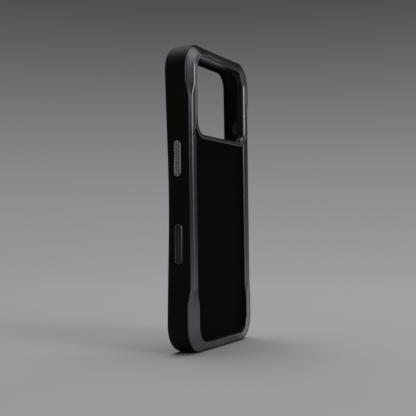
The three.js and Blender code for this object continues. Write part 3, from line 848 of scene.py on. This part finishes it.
def make_lining():
    outline = rect(LINING_HIGH.x, LINING_HIGH.z, POCKET_CORNER - 0.4)
    sheet = stack("lining_sheet", [
        at_depth(outline_loop(outline), LINING_LOW.y),
        at_depth(outline_loop(outline), LINING_HIGH.y - 0.08),
        at_depth(outline_loop(inset(outline, 0.08)), LINING_HIGH.y),
    ])
    hole = stack("hole", [
        at_depth(camera_loop(0, 0.25), LINING_LOW.y - 1),
        at_depth(camera_loop(0, 0.25), LINING_HIGH.y + 1),
    ])
    boolean(sheet, [hole])
    place(sheet, "case", LINING_CLOTH, ["lining"], "lining_cloth", weighted=True)


def make_camera_ring():
    """A skirt inside the carrier's wall, and a cap on it: steps are (share, depth, radius)."""
    top = RING_LOW.y
    seat = RING_HIGH.y
    cap = top + RING_CAP
    skirt = RING_SKIRT
    steps = [(0.0, seat, 0.05), (0.0, top + 0.5, 0.12), (skirt, top, 0.12), (0.85, top, 0.1),
             (1.0, top + 0.2, 0.08), (1.0, cap, 0.03), (skirt, cap, 0.03), (skirt, seat, 0.05)]
    columns = [np.array(at_depth(camera_loop(share), depth)) for share, depth, _ in steps]
    rows = fillet(np.stack(columns, axis=1), [radius for *_, radius in steps], 3)
    ring = loft("camera_trim_ring", rows)
    place(ring, "case", GUNMETAL, ["camera_ring"], "gunmetal", sharp=50)


# ---- trims and guards ----------------------------------------------------------------------------

def grown_window(x):
    return inset(WINDOW, WINDOW_HALF_WIDTH - x)


def ring_edge(stations):
    """How far out each station's inner edge has to stay to clear the camera ring."""
    corner = OPENING["corner"] + RING_WIDTH["corner"] + RING_GAP
    centre_x = BESIDE_RING["half_width"] - corner
    centre_z = RING_LOW.z - RING_GAP + corner
    height = stations.on(WINDOW)[1]
    drop = np.clip((centre_z - height) / corner, 0, 1)
    return np.where(stations.side & (stations.value > 0), centre_x + corner * np.sqrt(1 - drop ** 2), 0)


INNER_EDGE = WINDOW_HALF_WIDTH
RIDGE_START = (RAIL_RIDGE - 0.2, 0.0)
RIDGE_END = (RAIL_RIDGE + 0.1, 0.0)
RIDGE_FOOT = (RAIL_RIDGE + 0.35, 0.28)
# The trim's inner points: (x, depth) on the rail beside the panel and beside the ring, then (distance
# from the guard's inner edge, depth) on a guard, and the radius of the corner.
LIP_POINTS = [
    ((INNER_EDGE, LOW_LIP + 0.2), (INNER_EDGE, HIGH_LIP + 0.15), (0.0, HIGH_LIP + 0.15), 0.06),
    ((INNER_EDGE + 0.2, LOW_LIP), (INNER_EDGE + 0.2, HIGH_LIP), (0.15, HIGH_LIP), 0.08),
    ((RAIL_RIDGE - 1.7, LOW_LIP + 0.15), (RAIL_RIDGE - 1.1, HIGH_LIP), (0.25, HIGH_LIP), 0.12),
    ((RAIL_RIDGE - 1.3, 0.12), (RAIL_RIDGE - 0.7, 0.05), (0.35, HIGH_LIP), 0.08),
    (RIDGE_START, RIDGE_START, (0.45, HIGH_LIP), 0.06),
    (RIDGE_END, RIDGE_END, (0.6, HIGH_LIP), 0.05),
    (RIDGE_FOOT, RIDGE_FOOT, (0.85, HIGH_LIP + 0.24), 0.08),
]


def trim_rows(stations):
    """The trim's section at every station, from its inner edge over the top to its foot."""
    guard = guard_share(stations)
    upper = np.where(stations.side, stations.value > 0, stations.sign_z > 0)
    beside = soft_ramp(stations.value, *LIP_STEP, ease=0.15) * (stations.side & upper)
    clear = ring_edge(stations)
    edge = inset(OUTER, RIM_WIDTH + 0.1)
    pull = waist(stations, 1)
    columns, radii = [], []

    def add(rail, guard_xz, guard_depth, radius):
        x, z, depth = rail
        x = x + (guard_xz[0] - x) * guard
        z = z + (guard_xz[1] - z) * guard
        depth = depth + (guard_depth - depth) * guard
        columns.append(np.stack([x, depth, z], axis=1))
        radii.append(radius)

    def on_guard(grow, middle=False):
        places = []
        for window in (WINDOW, BESIDE_RING):
            outline = inset(window, -grow)
            places.append(stations.on(halfway(outline, edge) if middle else outline))
        (lower_x, lower_z), (upper_x, upper_z) = places
        return np.where(upper, upper_x, lower_x), np.where(upper, upper_z, lower_z)

    for number, (panel, ring, (grow, guard_depth), radius) in enumerate(LIP_POINTS):
        panel_x, z = stations.on(grown_window(panel[0]))
        ring_x = stations.on(grown_window(ring[0]))[0]
        x = panel_x + (ring_x - panel_x) * beside
        least = clear + (0.15 if number else 0)
        x = np.where(stations.side & (np.abs(x) < least), stations.sign_x * least, x)
        depth = panel[1] + (ring[1] - panel[1]) * beside
        add((x, z, depth), on_guard(grow), guard_depth, radius)
    x, z = stations.on(grown_window(SLOPE["x"]))
    foot_grow = LIP_POINTS[-1][2][0]
    add((x, z, SLOPE["rail"]), on_guard(foot_grow, middle=True), SLOPE["guard"], 0.5)
    x, z = stations.on(edge, pull)
    add((x, z, RIM["rail"] + 0.07), (x, z), RIM["guard"] + 0.07, 0.14)
    add((x, z, TRIM_BOTTOM), (x, z), TRIM_BOTTOM, 0.05)
    x, z = stations.on(WINDOW)
    x = np.where(stations.side & (np.abs(x) < clear), stations.sign_x * clear, x)
    add((x, z, TRIM_BOTTOM), on_guard(0), TRIM_BOTTOM, 0.05)
    return np.stack(columns, axis=1), radii


def make_trims():
    stations = right_run(SEAM_X + SEAM_GAP / 2, TRIM_CHAMFER)
    rows, radii = trim_rows(stations)
    right = fillet(rows, radii)
    left = (right * np.array([-1.0, 1.0, 1.0]))[::-1]
    for name, run in (("right", right), ("left", left)):
        trim = loft(f"trim_{name}", run, closed_run=False, cap_chamfer=TRIM_CHAMFER)
        face_outwards(trim)
        place(trim, "case", GUNMETAL, [f"trim_frame_{name}"], "gunmetal", sharp=50)


def make_strip(name, sign):
    low, high = drawn_box(f"{name}_strip")
    inner, outer = (low.z, high.z) if sign > 0 else (-high.z, -low.z)
    half = SEAM_X - SEAM_GAP / 2
    middle_z = (inner + outer) / 2
    chamfer = 0.12
    profile = [(TRIM_BOTTOM, inner), (TRIM_BOTTOM, outer), (RIM["strip"] + 0.12, outer), (0.17, middle_z),
               (HIGH_LIP + 0.24, inner + 0.85), (HIGH_LIP, inner + 0.6), (HIGH_LIP, inner + 0.15),
               (HIGH_LIP + 0.15, inner)]
    radii = [0.05, 0.05, 0.12, 0.5, 0.08, 0.05, 0.08, 0.06]
    sections = []
    for x, shrink in ((-half, chamfer), (-half + chamfer, 0), (half - chamfer, 0), (half, chamfer)):
        section = []
        for depth, z in profile:
            pull = shrink * (1 if z < middle_z else -1)
            push = shrink if depth < 1.0 else -shrink
            section.append((x, depth + push, sign * (z + pull)))
        sections.append(section)
    rows = fillet(np.array(sections, float), radii)
    strip = loft(f"strip_{name}", rows, closed_run=False)
    face_outwards(strip)
    place(strip, "case", GUNMETAL, [f"{name}_strip"], "gunmetal", sharp=50)


# ---- buttons -------------------------------------------------------------------------------------

def edge_levels(start, finish, radius, steps=4):
    """Levels (x, grow) of a slot solid whose outer edge is rounded."""
    levels = [(start, -0.1), (start + 0.1, 0.0), (finish - radius, 0.0)]
    for i in range(1, steps + 1):
        angle = math.pi / 2 * i / steps
        levels.append((finish - radius + radius * math.sin(angle), -radius * (1 - math.cos(angle))))
    return levels


def knurl_grooves(side, top, z_middle, half_length):
    """Columns and rows of V grooves that leave small pyramids."""
    along = Vector((0, 0, 1))
    across = Vector((0, 1, 0))
    rows = math.ceil(half_length / KNURL["along"]) + 1
    deep = Vector((-side * KNURL["depth"], 0, 0))
    high = Vector((side * KNURL["above"], 0, 0))
    half_flare = KNURL["width"] / 2 * (1 + KNURL["above"] / KNURL["depth"])
    families = []
    for direction, normal, pitch, count, reach in (
        (along, across, KNURL["across"], 2, half_length + 1), (across, along, KNURL["along"], rows, 4.0),
    ):
        grooves = []
        for i in range(-count, count):
            middle = Vector((side * top, BUTTON_DEPTH, z_middle)) + normal * (i + 0.5) * pitch
            profile = [deep, high + normal * half_flare, high - normal * half_flare]
            loops = [[tuple(middle + direction * t + p) for p in profile] for t in (-reach, reach)]
            grooves.append(stack("groove", loops))
        families.append(join_objects(grooves))
    return families


def make_cap(name):
    side = 1 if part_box(f"{name}_button_cap")[0].x > 0 else -1
    low, high = drawn_box(f"{name}_button_cap")
    inner, outer = (low.x, high.x) if side > 0 else (-high.x, -low.x)
    width, length, z = half_sizes(f"{name}_button_cap")
    knurled = name != "camera_control"
    radius = 0.5 if knurled else 0.2
    cap = slot_stack(f"{name}_cap", side, z, edge_levels(inner, outer, radius), width, length)
    if knurled:
        for family in knurl_grooves(side, outer, z, length):
            boolean(cap, [family])
    material = BUTTON_METAL if knurled else GREY_PLASTIC
    slot = "button_metal" if knurled else "grey_plastic"
    place(cap, f"{name}_button", material, [f"{name}_button_cap"], slot, sharp=25)


def make_plunger(name):
    side = 1 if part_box(f"{name}_button_plunger")[0].x > 0 else -1
    low, high = drawn_box(f"{name}_button_plunger")
    inner, outer = (low.x, high.x) if side > 0 else (-high.x, -low.x)
    width, length, z = half_sizes(f"{name}_button_plunger")
    neck = inner + PAD_THICKNESS
    loops = []
    for x, grow in ((inner, -0.25), (inner + 0.07, -0.07), (inner + 0.25, 0.0), (neck, 0.0)):
        loop = slot_loop(width + grow, length + grow)
        loops.append([(side * x, BUTTON_DEPTH + depth, z + dz) for depth, dz in loop])
    for x in (neck, outer):
        loop = slot_loop(STEM["half_width"], length - STEM["short"])
        loops.append([(side * x, BUTTON_DEPTH + depth, z + dz) for depth, dz in loop])
    plunger = stack(f"{name}_plunger", loops)
    place(plunger, f"{name}_button", GREY_PLASTIC, [f"{name}_button_plunger"], "grey_plastic")


def make_bezel():
    low, high = drawn_box("camera_control_bezel")
    width, length, z = half_sizes("camera_control_bezel")
    inner, outer = -high.x, -low.x
    bore = -BEZEL_WALL
    section = [(inner, bore, 0.03), (outer - 0.15, bore, 0.08), (outer, bore + 0.16, 0.08),
               (outer, bore + 0.26, 0.1), (outer - 0.32, 0.0, 0.1), (inner, 0.0, 0.03)]
    columns = []
    for x, grow, _ in section:
        loop = slot_loop(width + grow, length + grow)
        columns.append([(-x, BUTTON_DEPTH + depth, z + dz) for depth, dz in loop])
    rows = fillet(np.stack([np.array(c) for c in columns], axis=1), [r for *_, r in section], 3)
    bezel = loft("camera_control_rim", rows)
    face_outwards(bezel)
    place(bezel, "case", DARK_METAL, ["camera_control_bezel"], "grey_plastic", sharp=50)


make_bumper()
make_eyelet()
make_carrier()
make_panel()
make_lining()
make_camera_ring()
make_trims()
make_strip("top", 1)
make_strip("bottom", -1)
make_bezel()
for button in BUTTONS:
    make_cap(button)
    make_plunger(button)

for node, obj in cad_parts.items():
    if "magnet" in node:
        obj.data.materials.clear()
        obj.data.materials.append(MAGNET_METAL)

# ---- studio --------------------------------------------------------------------------------------

FLOOR_RADIUS = 0.7
WALL_RADIUS = 2.1
WALL_HEIGHT = 2.6
# the direction in which the floor and wall colour is painted darker: painted shade
PAINTED_SHADE_SIDE = (0.26, -0.966, 0)
AIM = (0, 0, 0.08)  # the lights point at the middle of the case


def ramp(material, source, low, high):
    """0 to 1 as source goes from low to high, eased at both ends."""
    node = add_node(
        material, "ShaderNodeMapRange", {"From Min": low, "From Max": high}, Value=source,
    )
    node.interpolation_type = "SMOOTHSTEP"
    return node.outputs["Result"]


def studio_painted_shade_material():
    """Backdrop paper with painted shade: palest behind the case, its colour darkened softly with height
    and to one side where light would fall off.
    """
    material = new_material("studio", (0.40, 0.40, 0.41), 0.95, specular=0.0)
    coordinates = add_node(material, "ShaderNodeTexCoord").outputs["Object"]
    height = add_node(material, "ShaderNodeSeparateXYZ", Vector=coordinates).outputs["Z"]
    # painted shade: the paper's colour darkens with height, standing in for light falling off up the wall
    rise = ramp(material, height, 0.0, 0.8)
    tint = colour_between(material, rise, (0.40, 0.40, 0.41), (0.19, 0.19, 0.20))
    # painted shade: the paper's colour darkens towards one side
    painted_side_shade = add_node(material, "ShaderNodeVectorMath", {"operation": "DOT_PRODUCT"})
    material.node_tree.links.new(coordinates, painted_side_shade.inputs[0])
    painted_side_shade.inputs[1].default_value = PAINTED_SHADE_SIDE
    shade = add_node(material, "ShaderNodeMix", {"data_type": "RGBA"})
    colours = [s for s in shade.inputs if s.type == "RGBA"]
    colours[1].default_value = (0.09, 0.09, 0.093, 1)
    material.node_tree.links.new(tint, colours[0])
    material.node_tree.links.new(ramp(material, painted_side_shade.outputs["Value"], 0.2, 0.9), shade.inputs[0])
    drive(material, "Base Color", next(s for s in shade.outputs if s.type == "RGBA"))
    return material


def make_studio():
    """A pale round floor that sweeps up into a wall."""
    bend = WALL_RADIUS - FLOOR_RADIUS
    profile = [(FLOOR_RADIUS * 0.5, 0.0), (FLOOR_RADIUS, 0.0)]
    for i in range(1, 25):
        angle = math.pi / 2 * i / 24
        profile.append((FLOOR_RADIUS + bend * math.sin(angle), bend * (1 - math.cos(angle))))
    profile.append((WALL_RADIUS, WALL_HEIGHT))
    work = bmesh.new()
    around = 96
    centre = work.verts.new((0, 0, 0))
    rings = []
    for radius, height in profile:
        ring = []
        for i in range(around):
            angle = 2 * math.pi * i / around
            ring.append(work.verts.new((radius * math.cos(angle), radius * math.sin(angle), height)))
        rings.append(ring)
    for i in range(around):
        j = (i + 1) % around
        work.faces.new((centre, rings[0][i], rings[0][j]))
        for inner, outer in zip(rings, rings[1:]):
            work.faces.new((inner[i], outer[i], outer[j], inner[j]))
    mesh = bpy.data.meshes.new("studio_floor")
    work.to_mesh(mesh)
    work.free()
    mesh.shade_smooth()
    mesh.materials.append(studio_painted_shade_material())
    new_object("studio_floor", mesh)


def softbox(name, direction, distance, size, power):
    light = bpy.data.lights.new(name, "AREA")
    light.shape = "RECTANGLE"
    light.size, light.size_y = size
    light.energy = power
    obj = new_object(name, light)
    obj.location = Vector(AIM) + Vector(direction).normalized() * distance
    obj.rotation_mode = "QUATERNION"
    obj.rotation_quaternion = Vector(direction).to_track_quat("Z", "Y")


make_studio()
softbox("top_softbox", (0.30, 0.14, 1.0), 1.6, (1.5, 1.5), 24)
softbox("key_softbox", (-0.25, -0.92, 0.42), 1.2, (0.5, 0.8), 5)
softbox("right_softbox", (0.74, -0.62, 0.42), 1.3, (0.6, 0.5), 0.9)

world = bpy.data.worlds.new("studio_light")
bpy.context.scene.world = world
world.use_nodes = True
world.node_tree.nodes["Background"].inputs["Color"].default_value = (0.5, 0.52, 0.55, 1)
world.node_tree.nodes["Background"].inputs["Strength"].default_value = 0.1
bpy.context.scene.view_settings.view_transform = "Standard"
